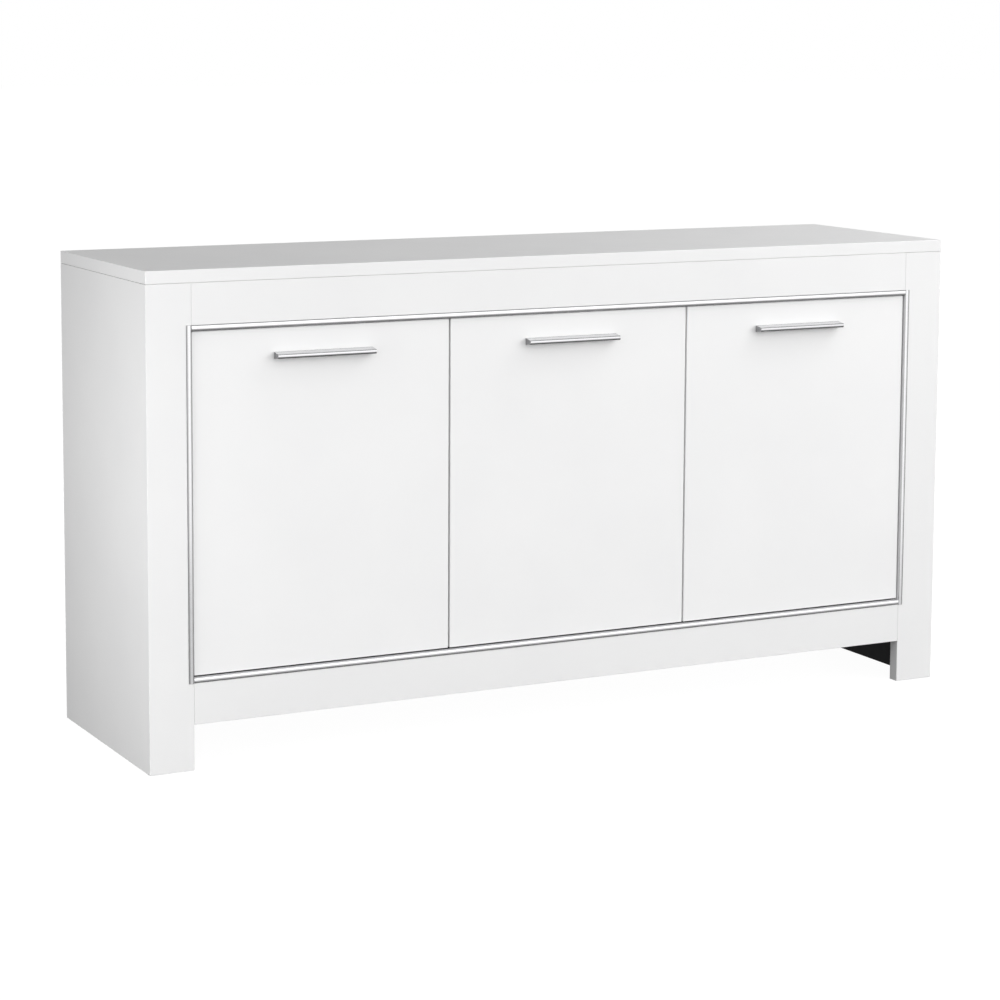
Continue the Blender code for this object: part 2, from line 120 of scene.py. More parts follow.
# Pull section, its angles in degrees
NOSE_HEIGHT = 0.0080
NOSE_UPPER = 0.0044
NOSE_POWER = 2.8
NOSE_DEPTH = 0.0070
NOSE_LIP = 0.0009
NOSE_TUCK = 46
NOSE_EDGE = 0.0002
NOSE_EDGE_TURN = 2
NOSE_STEPS = 16
WEB_THICK = 0.0026
FLANGE_THICK = 0.002
FLANGE_RISE = 0.0022
FLANGE_ROUND = 0.0005
PULL_END_ROUND = 0.0003
PULL_END_THICK = 0.0020
GRIP_ROUND = 0.0005
PULL_SCREW_SPREAD = 0.064

# Door buffers, with their profile as (radius, height)
BUFFER_INSET = 0.009
BUFFER_END_DISTANCE = 0.035
BUFFER_PROFILE = (
    (0, 0),
    (0.0040, 0),
    (0.0040, 0.0008),
    (0.0037, 0.0013),
    (0.0030, 0.0017),
    (0.0018, 0.0020),
    (0, 0.0021),
)

# Cup hinges: u runs from the pivot across the door, v from the pivot inwards, z from the hinge's level
CUP_CENTRE_U = 0.0105
CUP_RADIUS = 0.0172
CUP_WALL = 0.0010
CUP_START_V = -0.0031
CUP_FLOOR = 0.0008
CUP_FILLET = 0.0025
CUP_LIP = 0.0005
CUP_SIDES = 72
BORE_PLAY = 0.0002
BORE_END_V = 0.03
FLANGE_BORE_END_V = 0.02
FLANGE_RADIUS = 0.019
EAR_REACH = 0.031
EAR_HALF_WIDTH = 0.007
PRESSED_THICK = 0.0010
PRESSED_ROUND = 0.0002
EAR_DROP = 0.0001
PIN_RADIUS = 0.0010
PIN_LENGTH = 0.0258
EYE_RADIUS = 0.0020
EYE_HOLE_RADIUS = 0.0011
ARM_WIDTH = 0.010
ARM_THICK = 0.002
ARM_ELBOW_U = 0.0155
ARM_TURN_V = 0.0169
ARM_BEND = 0.0016
ARM_EDGE = 0.0003
ARM_SCREWS_V = (0.012, 0.036)
PLATE_THICK = 0.0045
PLATE_HALF_WIDTH = 0.008
PLATE_WING_LENGTH = 0.014
PLATE_WING_START = 0.015
PLATE_CORNER = 0.003
PLATE_EDGE = 0.0006
PLATE_SCREW_INSET = 0.007


# Meshes

def mesh_from(bm, name="shape"):
    """Closes off a bmesh as a mesh whose faces point out."""
    bmesh.ops.recalc_face_normals(bm, faces=bm.faces)
    mesh = bpy.data.meshes.new(name)
    bm.to_mesh(mesh)
    bm.free()
    return mesh


def rounded_box(low, high, radius, segments=4):
    """A box between two corners, with every edge rounded."""
    low, high = Vector(low), Vector(high)
    bm = bmesh.new()
    bmesh.ops.create_cube(bm, size=1.0)
    bmesh.ops.scale(bm, vec=high - low, verts=bm.verts)
    bmesh.ops.translate(bm, vec=(low + high) / 2, verts=bm.verts)
    bmesh.ops.bevel(bm, geom=bm.edges, offset=radius, segments=segments, profile=0.5, affect="EDGES")
    return mesh_from(bm)


def prism(outline, low, high, along, end_round=0.0):
    """Pushes a closed outline along X, Y or Z from low to high, with its end edges rounded."""
    axis = "XYZ".index(along)
    bm = bmesh.new()
    ends = []
    for level in (low, high):
        ring = []
        for point in outline:
            place = list(point)
            place.insert(axis, level)
            ring.append(bm.verts.new(place))
        ends.append(ring)
    caps = [bm.faces.new(ring) for ring in ends]
    count = len(outline)
    for i in range(count):
        j = (i + 1) % count
        bm.faces.new((ends[0][i], ends[0][j], ends[1][j], ends[1][i]))
    if end_round:
        edges = [edge for cap in caps for edge in cap.edges]
        bmesh.ops.bevel(bm, geom=edges, offset=end_round, segments=2, profile=0.5, affect="EDGES")
    return mesh_from(bm)


def turned(profile, sides, along="Z"):
    """Turns a profile of (radius, distance) points about an axis. A radius of 0 closes the end."""
    axis = "XYZ".index(along)
    bm = bmesh.new()
    rings = []
    for radius, distance in profile:
        ring = []
        for i in range(sides if radius > 0 else 1):
            turn = 2 * math.pi * i / sides
            place = [radius * math.cos(turn), radius * math.sin(turn)]
            place.insert(axis, distance)
            ring.append(bm.verts.new(place))
        rings.append(ring)
    for near, far in zip(rings, rings[1:]):
        for i in range(sides):
            j = (i + 1) % sides
            corners = [near[i % len(near)], near[j % len(near)], far[j % len(far)], far[i % len(far)]]
            bm.faces.new(list(dict.fromkeys(corners)))
    return mesh_from(bm)


def drum(radius, low, high, sides, along="Z"):
    """A plain cylinder, for boring holes."""
    return turned([(0, low), (radius, low), (radius, high), (0, high)], sides, along)


def peg(radius, half, ease, sides):
    """A pin along Z, centred on the origin, with eased ends."""
    profile = [(0, -half), (radius - ease, -half), (radius, ease - half)]
    profile += [(r, -distance) for r, distance in reversed(profile)]
    return turned(profile, sides)


def arc(centre, radius, start, end, steps):
    """Points on an arc, angles in degrees."""
    points = []
    for i in range(steps + 1):
        turn = math.radians(start + (end - start) * i / steps)
        points.append((centre[0] + radius * math.cos(turn), centre[1] + radius * math.sin(turn)))
    return points


def softened(outline, radius, steps=3):
    """The outline with each of its corners rounded off by a quadratic curve, short of its sides' middles."""
    points = []
    count = len(outline)
    for i in range(count):
        corner = Vector(outline[i])
        before = Vector(outline[i - 1]) - corner
        after = Vector(outline[(i + 1) % count]) - corner
        reach = min(radius, before.length / 2.2, after.length / 2.2)
        start = corner + before.normalized() * reach
        end = corner + after.normalized() * reach
        for step in range(steps + 1):
            t = step / steps
            point = start * (1 - t) ** 2 + corner * 2 * t * (1 - t) + end * t ** 2
            points.append(tuple(point))
    return points


def placed(mesh, matrix):
    """A copy of the mesh, moved. A mirrored one gets its faces turned out again."""
    mesh = mesh.copy()
    mesh.transform(matrix)
    if matrix.determinant() < 0:
        mesh.flip_normals()
    return mesh


def shifted(mesh, offset):
    """A copy of the mesh, shifted."""
    return placed(mesh, Matrix.Translation(offset))


def joined(meshes):
    """Several meshes as one, each still a closed shell."""
    bm = bmesh.new()
    for mesh in meshes:
        bm.from_mesh(mesh)
    return mesh_from(bm)


def combine(mesh, tool, operation):
    """Cuts the tool out of the mesh, or joins it on, with an exact Boolean."""
    target = bpy.data.objects.new("target", mesh)
    other = bpy.data.objects.new("tool", tool)
    for item in (target, other):
        bpy.context.scene.collection.objects.link(item)
    modifier = target.modifiers.new("combine", "BOOLEAN")
    modifier.operation = operation
    modifier.solver = "EXACT"
    modifier.object = other
    bpy.context.view_layer.update()
    graph = bpy.context.evaluated_depsgraph_get()
    result = bpy.data.meshes.new_from_object(target.evaluated_get(graph))
    for item in (target, other):
        bpy.data.objects.remove(item, do_unlink=True)
    return result


def add_piece(name, mesh, materials, body, nodes=()):
    """Adds a finished piece that rides on a body and stands for the named CAD nodes."""
    mesh.name = name
    mesh.materials.clear()
    for material in materials:
        mesh.materials.append(material)
    mesh.shade_smooth()
    mesh.set_sharp_from_angle(angle=SMOOTH_ANGLE)
    piece = bpy.data.objects.new(name, mesh)
    bpy.context.scene.collection.objects.link(piece)
    weights = piece.modifiers.new("flat_faces", "WEIGHTED_NORMAL")
    weights.keep_sharp = True
    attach(piece, body)
    if nodes:
        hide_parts(*nodes)
    return piece


# Materials

def add_node(tree, kind, inputs=None, **settings):
    """Adds a shader node. An input given as a socket is linked, and any other is set."""
    node = tree.nodes.new(kind)
    for key, value in settings.items():
        setattr(node, key, value)
    for key, value in (inputs or {}).items():
        if isinstance(value, bpy.types.NodeSocket):
            tree.links.new(value, node.inputs[key])
        else:
            node.inputs[key].default_value = value
    return node


def noise(tree, coords, scale, detail=2.0, stretch=(1.0, 1.0, 1.0)):
    """A noise value in the object's own coordinates."""
    mapping = add_node(tree, "ShaderNodeMapping", {"Vector": coords, "Scale": stretch})
    inputs = {"Vector": mapping.outputs["Vector"], "Scale": scale, "Detail": detail}
    return add_node(tree, "ShaderNodeTexNoise", inputs).outputs["Fac"]


def ranged(tree, value, low, high, from_low=0.3, from_high=0.7):
    """Maps a value to a range."""
    inputs = {"Value": value, "From Min": from_low, "From Max": from_high, "To Min": low, "To Max": high}
    return add_node(tree, "ShaderNodeMapRange", inputs).outputs["Result"]


def mixed(tree, factor, first, second):
    """A colour between two others."""
    inputs = {"Factor": factor, "A": (*first, 1.0), "B": (*second, 1.0)}
    return add_node(tree, "ShaderNodeMix", inputs, data_type="RGBA").outputs["Result"]


def bumped(tree, layers):
    """Stacks bump layers, each a (height, strength, distance)."""
    normal = None
    for height, strength, distance in layers:
        inputs = {"Height": height, "Strength": strength, "Distance": distance}
        if normal is not None:
            inputs["Normal"] = normal
        normal = add_node(tree, "ShaderNodeBump", inputs).outputs["Normal"]
    return normal


def start_material(name, **sockets):
    """A Principled material with its even values set on the shader's own sockets."""
    material = bpy.data.materials.new(name)
    material.use_nodes = True
    tree = material.node_tree
    shader = tree.nodes["Principled BSDF"]
    for key, value in sockets.items():
        shader.inputs[key.replace("_", " ")].default_value = value
    coords = add_node(tree, "ShaderNodeTexCoord").outputs["Object"]
    return material, tree, shader, coords


def link_surface(tree, shader, colour, roughness, normal):
    """Links what varies over the surface to the shader."""
    tree.links.new(colour, shader.inputs["Base Color"])
    tree.links.new(roughness, shader.inputs["Roughness"])
    tree.links.new(normal, shader.inputs["Normal"])


def white_lacquer(name, light):
    """Satin white lacquer: slight mottling, orange peel and fine dust nibs."""
    material, tree, shader, coords = start_material(name, Specular_IOR_Level=0.42)
    mottle = noise(tree, coords, 5.0, 3.0)
    dull = (light - 0.011, light - 0.011, light - 0.009)
    bright = (light + 0.011, light + 0.011, light + 0.011)
    colour = mixed(tree, ranged(tree, mottle, 0.0, 1.0), dull, bright)
    roughness = ranged(tree, noise(tree, coords, 38.0, 4.0), 0.40, 0.48)
    peel = noise(tree, coords, 420.0, 2.0)
    nibs = noise(tree, coords, 2600.0, 1.0)
    normal = bumped(tree, ((peel, 0.35, 0.00002), (nibs, 0.25, 0.000005)))
    link_surface(tree, shader, colour, roughness, normal)
    return material


def charcoal_melamine(name, light, rough):
    """Charcoal melamine foil: pale specks in a dark ground, with a fine pearl grain."""
    material, tree, shader, coords = start_material(name, Specular_IOR_Level=0.45)
    specks = ranged(tree, noise(tree, coords, 1500.0, 3.0), 0.0, 1.0, 0.45, 0.75)
    dark = (0.019 * light, 0.019 * light, 0.021 * light)
    pale = (0.040 * light, 0.040 * light, 0.043 * light)
    colour = mixed(tree, specks, dark, pale)
    roughness = ranged(tree, noise(tree, coords, 60.0, 4.0), rough - 0.06, rough + 0.06)
    grain = noise(tree, coords, 900.0, 3.0)
    normal = bumped(tree, ((grain, 0.5, 0.00004),))
    link_surface(tree, shader, colour, roughness, normal)
    return material


def plated(name, colour, rough, scratch_along, scratch_strength, metallic=1.0):
    """Plated metal with hairline polishing marks along one axis."""
    material, tree, shader, coords = start_material(name, Metallic=metallic)
    stretch = [1.0, 1.0, 1.0]
    stretch["XYZ".index(scratch_along)] = 0.02
    tint = [0.965 * c for c in colour]
    base = mixed(tree, ranged(tree, noise(tree, coords, 90.0, 3.0), 0.0, 1.0), tint, colour)
    smudge = noise(tree, coords, 45.0, 4.0)
    roughness = ranged(tree, smudge, rough * 0.8, rough * 1.35)
    lines = noise(tree, coords, 2400.0, 2.0, stretch)
    normal = bumped(tree, ((lines, scratch_strength, 0.000004),))
    link_surface(tree, shader, base, roughness, normal)
    return material


def hardboard():
    """Raw hardboard: matted brown fibres."""
    material, tree, shader, coords = start_material("hardboard", Specular_IOR_Level=0.25)
    fibres = noise(tree, coords, 650.0, 5.0, (1.0, 1.0, 0.35))
    clouds = noise(tree, coords, 9.0, 4.0)
    blend = add_node(tree, "ShaderNodeMath", {0: fibres, 1: clouds}, operation="ADD").outputs["Value"]
    share = ranged(tree, blend, 0.0, 1.0, 0.7, 1.3)
    colour = mixed(tree, share, (0.150, 0.088, 0.048), (0.275, 0.175, 0.100))
    roughness = ranged(tree, fibres, 0.62, 0.80)
    normal = bumped(tree, ((fibres, 0.5, 0.00006),))
    link_surface(tree, shader, colour, roughness, normal)
    return material


def soft_rubber():
    """Clear-white silicone of the door buffers."""
    material, tree, shader, coords = start_material("buffer_silicone", Subsurface_Weight=0.2)
    shader.inputs["Subsurface Scale"].default_value = 0.002
    haze = noise(tree, coords, 700.0, 2.0)
    colour = mixed(tree, ranged(tree, haze, 0.0, 1.0), (0.62, 0.63, 0.63), (0.72, 0.72, 0.71))
    roughness = ranged(tree, haze, 0.25, 0.40)
    normal = bumped(tree, ((haze, 0.3, 0.00002),))
    link_surface(tree, shader, colour, roughness, normal)
    return material


def trim_core():
    """Pale grey plastic of the trim's flanks, under the chrome face."""
    material, tree, shader, coords = start_material("trim_core", Specular_IOR_Level=0.4)
    haze = noise(tree, coords, 300.0, 3.0)
    colour = mixed(tree, ranged(tree, haze, 0.0, 1.0), (0.66, 0.66, 0.67), (0.72, 0.72, 0.73))
    roughness = ranged(tree, haze, 0.35, 0.45)
    normal = bumped(tree, ((haze, 0.3, 0.00002),))
    link_surface(tree, shader, colour, roughness, normal)
    return material


WHITE = white_lacquer("white_lacquer", 0.863)
# The doors get a lighter copy of the frame's white lacquer: painted light that lifts them to the frame's
# tone
DOOR_WHITE_PAINTED_LIGHT = white_lacquer("door_lacquer_painted_light", 0.889)
CHARCOAL = charcoal_melamine("charcoal_melamine", 1.35, 0.52)
EDGING = charcoal_melamine("charcoal_edging", 1.6, 0.40)
CHROME = plated("chrome", (0.78, 0.78, 0.79), 0.07, "X", 0.15)
CHROME_UPRIGHT = plated("chrome_upright", (0.78, 0.78, 0.79), 0.07, "Z", 0.15)
CHROME_PULL = plated("chrome_pull", (0.62, 0.62, 0.63), 0.08, "X", 0.15)
SAWN_END = plated("sawn_end", (0.40, 0.40, 0.41), 0.50, "Y", 0.60)
TRIM_CORE = trim_core()
NICKEL = plated("nickel_plate", (0.70, 0.685, 0.66), 0.26, "Z", 0.45, 0.70)
ZINC = plated("zinc_screw", (0.72, 0.71, 0.66), 0.30, "X", 0.60, 0.65)
HARDBOARD = hardboard()
SILICONE = soft_rubber()


# Fasteners

def screw_mesh(radius, height, recess=0.62):
    """A pan head screw seen from its head: seat at 0, head along +Z, with a cross recess."""
    shoulder = 0.35 * height
    profile = [(0, 0), (radius, 0), (radius, shoulder)]
    for i in range(1, 6):
        turn = math.pi / 2 * i / 6
        profile.append((radius * math.cos(turn) ** 0.8, shoulder + (height - shoulder) * math.sin(turn)))
    profile.append((0, height))
    head = turned(profile, 28)
    deep = height * 0.45
    slot = radius * 0.13
    reach = radius * recess
    for low, high in (((-reach, -slot), (reach, slot)), ((-slot, -reach), (slot, reach))):
        cutter = rounded_box((*low, deep), (*high, height * 1.5), slot * 0.2, 1)
        head = combine(head, cutter, "DIFFERENCE")
    return head


def facing(direction):
    """Turns +Z to face a direction."""
    return Vector(direction).to_track_quat("Z", "Y").to_matrix().to_4x4()


LARGE_SCREW = screw_mesh(0.0036, 0.0016)
SMALL_SCREW = screw_mesh(0.0030, 0.0013)
NAIL_PROFILE = (
    (0, 0),
    (0.0022, 0),
    (0.0022, 0.0001),
    (0.0019, 0.00035),
    (0.0010, 0.00048),
    (0, 0.0005),
)
NAIL = turned(NAIL_PROFILE, 20)


def screws_at(mesh, places, direction):
    """Copies of a fastener at the places, all facing one way."""
    turn = facing(direction)
    return joined([placed(mesh, Matrix.Translation(place) @ turn) for place in places])


# Lacquered boards

def build_top():
    """The slab."""
    low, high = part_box("top_panel")
    slab = rounded_box(low, high, SLAB_EDGE)
    add_piece("top_panel_slab", slab, [WHITE], CARCASS, ["top_panel"])


def pin_cutters(face_x, direction, rows, centre_z):
    """Cutters for rows of shelf pin holes in a face that looks along the direction, +1 or -1 in X."""
    cutters = []
    deep = -direction * HOLE_DEPTH
    hole = drum(HOLE_RADIUS, deep, direction * CUTTER_PAST, 24, "X")
    for y in rows:
        for i in range(-HOLES_EACH_WAY, HOLES_EACH_WAY + 1):
            cutters.append(shifted(hole, (face_x, y, centre_z + i * HOLE_PITCH)))
    return cutters


def pin_rows():
    """The two depths of the shelf pins and their height, from the pins themselves."""
    centres = []
    for row in ("front", "rear"):
        low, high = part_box(f"shelf_pin_left_left_{row}")
        centres.append((low + high) / 2)
    return [centre.y for centre in centres], centres[0].z


def cad_front():
    """The plane of the front frame's face."""
    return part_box("top_rail")[0].y


def build_sides():
    """The side panels, white outside and charcoal inside, mitred to the posts round a soft corner."""
    rows, pin_z = pin_rows()
    for side, name in SIDES:
        low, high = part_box(f"side_panel_{name}")
        outer = max(abs(low.x), abs(high.x))
        inner = min(abs(low.x), abs(high.x))
        front = cad_front()
        thick = outer - inner
        r = LACQUER_EDGE
        centre = (outer - CORNER_ROUND, front + CORNER_ROUND)
        outline = [(inner, front + thick + SEAM_GAP)]
        outline += [(x, y + SEAM_GAP) for x, y in arc(centre, CORNER_ROUND, -45, 0, 4)]
        outline += arc((outer - r, high.y - r), r, 0, 90, 3)
        outline += arc((inner + r, high.y - r), r, 90, 180, 3)
        outline = [(side * x, y) for x, y in outline]
        panel = prism(outline, low.z, high.z, "Z", LACQUER_EDGE)
        panel = combine(panel, joined(pin_cutters(side * inner, -side, rows, pin_z)), "DIFFERENCE")
        node = f"side_panel_{name}"
        piece = add_piece(f"{node}_board", panel, [WHITE, CHARCOAL], CARCASS, [node])
        inside_limit = inner + thick * INSIDE_SHARE
        for face in piece.data.polygons:
            if abs(face.center.x) < inside_limit:
                face.material_index = 1


def build_front_frame():
    """The posts, notched for the trim, and the two rails."""
    front = cad_front()
    for side, name in SIDES:
        low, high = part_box(f"post_{name}")
        outer = (cad_high.x - cad_low.x) / 2
        thick = outer - min(abs(v.x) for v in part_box(f"side_panel_{name}"))
        inner = min(abs(low.x), abs(high.x))
        r = LACQUER_EDGE
        outline = [(outer - thick, front + thick), (outer - thick - BOARD_EDGE, high.y), (inner, high.y)]
        outline += arc((inner + r, front + r), r, 180, 270, 3)
        outline += arc((outer - CORNER_ROUND, front + CORNER_ROUND), CORNER_ROUND, -90, -45, 4)
        outline = [(side * x, y) for x, y in outline]
        post = prism(outline, low.z, high.z, "Z", LACQUER_EDGE)
        strip_low, strip_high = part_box(f"trim_{name}")
        notch_outer = max(abs(strip_low.x), abs(strip_high.x)) + 2 * CONTACT_GAP
        across = sorted((side * (inner - CUTTER_PAST), side * notch_outer))
        cutter = rounded_box(
            (across[0], front - CUTTER_PAST, strip_low.z - CONTACT_GAP),
            (across[1], strip_high.y + CONTACT_GAP, strip_high.z + CONTACT_GAP),
            CUTTER_EDGE,
            1,
        )
        post = combine(post, cutter, "DIFFERENCE")
        add_piece(f"post_{name}_board", post, [WHITE], CARCASS, [f"post_{name}"])
    for node in ("top_rail", "plinth_rail"):
        low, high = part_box(node)
        rail = rounded_box(low, high, LACQUER_EDGE)
        add_piece(f"{node}_board", rail, [WHITE], CARCASS, [node])


# Trim

def trim_section():
    """Section of the trim as (across, depth): a flat superellipse crown that falls off to both sides."""
    half = TRIM_WIDTH / 2
    points = []
    for i in range(TRIM_STEPS + 1):
        turn = math.pi * (1 - i / TRIM_STEPS)
        along = math.copysign(abs(math.cos(turn)) ** (2 / TRIM_POWER), math.cos(turn))
        rise = math.sin(turn) ** (2 / TRIM_POWER) if 0 < i < TRIM_STEPS else 0.0
        points.append((half * (1 + along), TRIM_CROWN * (1 - rise)))
    return points


def build_trim():
    """The four chrome strips."""
    section = trim_section()
    for side, name in SIDES:
        low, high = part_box(f"trim_{name}")
        start = low.x if side < 0 else high.x
        outline = [(start, high.y)]
        outline += [(start - side * across, low.y + depth) for across, depth in section]
        outline.append((start - side * TRIM_WIDTH, high.y))
        strip = prism(outline, low.z, high.z, "Z", TRIM_END_ROUND)
        add_strip(name, strip, CHROME_UPRIGHT)
    for name in ("top", "bottom"):
        low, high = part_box(f"trim_{name}")
        outline = [(high.y, low.z)] + [(low.y + depth, low.z + across) for across, depth in section]
        outline.append((high.y, high.z))
        strip = prism(outline, low.x, high.x, "X", TRIM_END_ROUND)
        add_strip(name, strip, CHROME)


def add_strip(name, strip, chrome):
    """Adds a strip with a chrome face, pale flanks, and charcoal on its downward faces as painted shade for
    the shadowed gap under it.
    """
    materials = [chrome, TRIM_CORE, CHARCOAL]
    piece = add_piece(f"trim_{name}_strip", strip, materials, CARCASS, [f"trim_{name}"])
    for face in piece.data.polygons:
        # Faces that look down get charcoal: painted shade standing in for the dark gap under the strip
        if abs(face.normal.y) < LOOKS_ACROSS:
            face.material_index = 2 if face.normal.z < -LOOKS_ALONG else 1


# Inside

def build_banded_board(node, label):
    """A charcoal board with a glued edge band along its front."""
    low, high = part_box(node)
    body_low = (low.x, low.y + BAND_THICK, low.z)
    board = rounded_box(body_low, high, BOARD_EDGE * 0.3, 1)
    add_piece(f"{node}_{label}", board, [CHARCOAL], CARCASS, [node])
    band_high = (high.x, low.y + BAND_THICK - SEAM_GAP, high.z)
    band = rounded_box(low, band_high, BAND_THICK * 0.45, 3)
    add_piece(f"{node}_edge_band", band, [EDGING], CARCASS)


def build_partitions():
    """The uprights between the compartments, bored for the shelf pins, with banded front edges."""
    rows, pin_z = pin_rows()
    trim_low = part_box("trim_top")[0]
    for _, name in SIDES:
        node = f"partition_{name}"
        low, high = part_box(node)
        door_clear_y = low.y + PARTITION_SETBACK
        step_z = trim_low.z + PARTITION_STEP
        outline = [
            (door_clear_y + BAND_THICK, low.z),
            (high.y, low.z),
            (high.y, high.z),
            (low.y, high.z),
            (low.y, step_z),
            (door_clear_y + BAND_THICK, step_z),
        ]
        board = prism(outline, low.x, high.x, "X", BOARD_EDGE * 0.3)
        cutters = pin_cutters(low.x, -1, rows, pin_z) + pin_cutters(high.x, 1, rows, pin_z)
        board = combine(board, joined(cutters), "DIFFERENCE")
        add_piece(f"{node}_board", board, [CHARCOAL], CARCASS, [node])
        band_high = (high.x, door_clear_y + BAND_THICK - SEAM_GAP, step_z - BOARD_EDGE)
        band = rounded_box((low.x, door_clear_y, low.z), band_high, BAND_THICK * 0.45, 3)
        add_piece(f"{node}_edge_band", band, [EDGING], CARCASS)


def build_inside():
    """Bottom, partitions, shelves, battens, rear rail and shelf pins."""
    build_banded_board("bottom_panel", "board")
    for door in DOORS:
        build_banded_board(f"shelf_{door}", "board")
    for _, name in SIDES:
        build_banded_board(f"hinge_batten_{name}", "board")
    build_partitions()
    low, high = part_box("rear_rail")
    rail = rounded_box(low, high, BOARD_EDGE, 2)
    add_piece("rear_rail_board", rail, [CHARCOAL], CARCASS, ["rear_rail"])
    for door in DOORS:
        for end, facing_in in (("left", 1), ("right", -1)):
            for row in ("front", "rear"):
                build_pin(f"shelf_pin_{door}_{end}_{row}", facing_in)


def build_pin(node, facing_in):
    """A turned shelf pin with a collar and rounded ends."""
    low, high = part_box(node)
    start = low.x if facing_in > 0 else high.x
    length = high.x - low.x
    radius, wide, ease = PIN_SHAFT_RADIUS, PIN_COLLAR_RADIUS, PIN_EASE
    start_at, end_at = PIN_COLLAR_START, PIN_COLLAR_START + PIN_COLLAR
    profile = [(0, 0), (radius - ease, 0), (radius, ease), (radius, start_at)]
    profile += [(wide - ease, start_at), (wide, start_at + ease)]
    profile += [(wide, end_at - ease), (wide - ease, end_at), (radius, end_at)]
    profile += [(radius, length - 2 * ease), (radius - ease, length - ease / 4)]
    profile += [(radius - 2 * ease, length), (0, length)]
    pin = turned([(r, facing_in * d) for r, d in profile], 32, "X")
    pin = shifted(pin, (start, (low.y + high.y) / 2, (low.z + high.z) / 2))
    add_piece(f"{node}_turned", pin, [NICKEL], CARCASS, [node])


def build_back():
    """The hardboard back, charcoal inside, and the nails round its edge."""
    low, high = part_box("back_panel")
    back = rounded_box(low, high, BACK_EDGE, 1)
    materials = [HARDBOARD, CHARCOAL]
    piece = add_piece("back_panel_sheet", back, materials, CARCASS, ["back_panel"])
    for face in piece.data.polygons:
        if face.normal.y < -LOOKS_ALONG:
            face.material_index = 1
    inset, across, up = NAIL_INSET, NAILS_ACROSS, NAILS_UP
    places = []
    for i in range(across + 1):
        x = low.x + inset + (high.x - low.x - 2 * inset) * i / across
        places += [(x, high.y, low.z + inset), (x, high.y, high.z - inset)]
    for i in range(1, up):
        z = low.z + inset + (high.z - low.z - 2 * inset) * i / up
        places += [(low.x + inset, high.y, z), (high.x - inset, high.y, z)]
    for _, name in SIDES:
        box_low, box_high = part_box(f"partition_{name}")
        x = (box_low.x + box_high.x) / 2
        places += [(x, high.y, low.z + (high.z - low.z) * (i + 0.5) / up) for i in range(up)]
    nails = screws_at(NAIL, places, (0, 1, 0))
    add_piece("back_panel_nails", nails, [ZINC], CARCASS)


# Doors

def pull_outlines():
    """The outlines of the pull and its grip, as (depth, height) from the flange's top edge, on the door."""
    low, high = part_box("pull_left")
    door_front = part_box("door_left")[0].y
    depth = door_front - low.y
    flange_back = high.y - door_front
    flange_front = flange_back - FLANGE_THICK
    flange_low = low.z - high.z
    nose_top = -FLANGE_RISE
    nose_low = nose_top - NOSE_HEIGHT
    nose_back = -depth + NOSE_DEPTH
    radius = (NOSE_HEIGHT - NOSE_UPPER) / math.sin(math.radians(NOSE_TUCK))
    nose = (-depth + radius, nose_top - NOSE_UPPER)
    slope = (FLANGE_RISE - FLANGE_ROUND) / (flange_front - nose[0])
    web_low = nose_top + slope * (nose_back - nose[0]) - WEB_THICK
    r = FLANGE_ROUND
    outline = [(flange_back, 0.0)]
    outline += arc((flange_front + r, -r), r, 90, 180 - math.degrees(math.atan(slope)) * 0.5, 4)
    for i in range(NOSE_STEPS + 1):
        turn = math.pi / 2 * (1 - i / NOSE_STEPS)
        ahead = math.cos(turn) ** (2 / NOSE_POWER) if i else 0.0
        up = math.sin(turn) ** (2 / NOSE_POWER)
        outline.append((nose[0] - radius * ahead, nose[1] + NOSE_UPPER * up))
    outline += arc(nose, radius, 180, 180 + NOSE_TUCK - NOSE_EDGE_TURN, NOSE_STEPS)[1:]
    outline.append((nose[0] - radius * math.cos(math.radians(NOSE_TUCK)) + NOSE_EDGE, nose_low))
    outline += [(nose_back, nose_low), (flange_front, flange_low), (flange_back, flange_low)]

    grip = arc((nose_back - NOSE_LIP, nose_low + NOSE_LIP), NOSE_LIP, 270, 360, 5)
    grip += [
        (nose_back, web_low - GRIP_ROUND),
        (nose_back + GRIP_ROUND, web_low + slope * GRIP_ROUND),
        (flange_front - GRIP_ROUND, -r - WEB_THICK - slope * GRIP_ROUND),
        (flange_front, -r - WEB_THICK - GRIP_ROUND),
        (flange_front, flange_low - CUTTER_PAST),
        (nose_back - NOSE_LIP, flange_low - CUTTER_PAST),
    ]
    return outline, grip


def build_doors():
    """The door leaves, their pulls, pull screws and buffers."""
    pull_outline, grip_outline = pull_outlines()
    for door in DOORS:
        body = f"door_{door}_leaf"
        low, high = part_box(f"door_{door}")
        leaf = rounded_box(low, high, DOOR_EDGE)
        for row in HINGE_ROWS:
            pivot, side, _ = hinge_place(door, row)
            bore = drum(CUP_RADIUS + BORE_PLAY, CUP_START_V - CONTACT_GAP, BORE_END_V, CUP_SIDES, "Y")
            bore = shifted(bore, pivot + Vector((side * CUP_CENTRE_U, 0, 0)))
            leaf = combine(leaf, bore, "DIFFERENCE")
        add_piece(f"door_{door}_panel", leaf, [DOOR_WHITE_PAINTED_LIGHT], body, [f"door_{door}"])

        pull_low, pull_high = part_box(f"pull_{door}")
        outline, grip = (
            [(low.y + depth, pull_high.z + height) for depth, height in section]
            for section in (pull_outline, grip_outline)
        )
        pull = prism(outline, pull_low.x, pull_high.x, "X", PULL_END_ROUND)
        cutter = prism(grip, pull_low.x + PULL_END_THICK, pull_high.x - PULL_END_THICK, "X")
        pull = combine(pull, cutter, "DIFFERENCE")
        materials = [CHROME_PULL, SAWN_END]
        piece = add_piece(f"pull_{door}_profile", pull, materials, body, [f"pull_{door}"])
        for face in piece.data.polygons:
            if abs(face.normal.x) > LOOKS_ALONG:
                face.material_index = 1
        middle = (pull_low + pull_high) / 2
        places = [(middle.x + way * PULL_SCREW_SPREAD, high.y, middle.z) for way in (-1, 1)]
        screws = screws_at(LARGE_SCREW, places, (0, 1, 0))
        add_piece(f"pull_{door}_screws", screws, [ZINC], body)
        build_buffers(door, body, low, high)


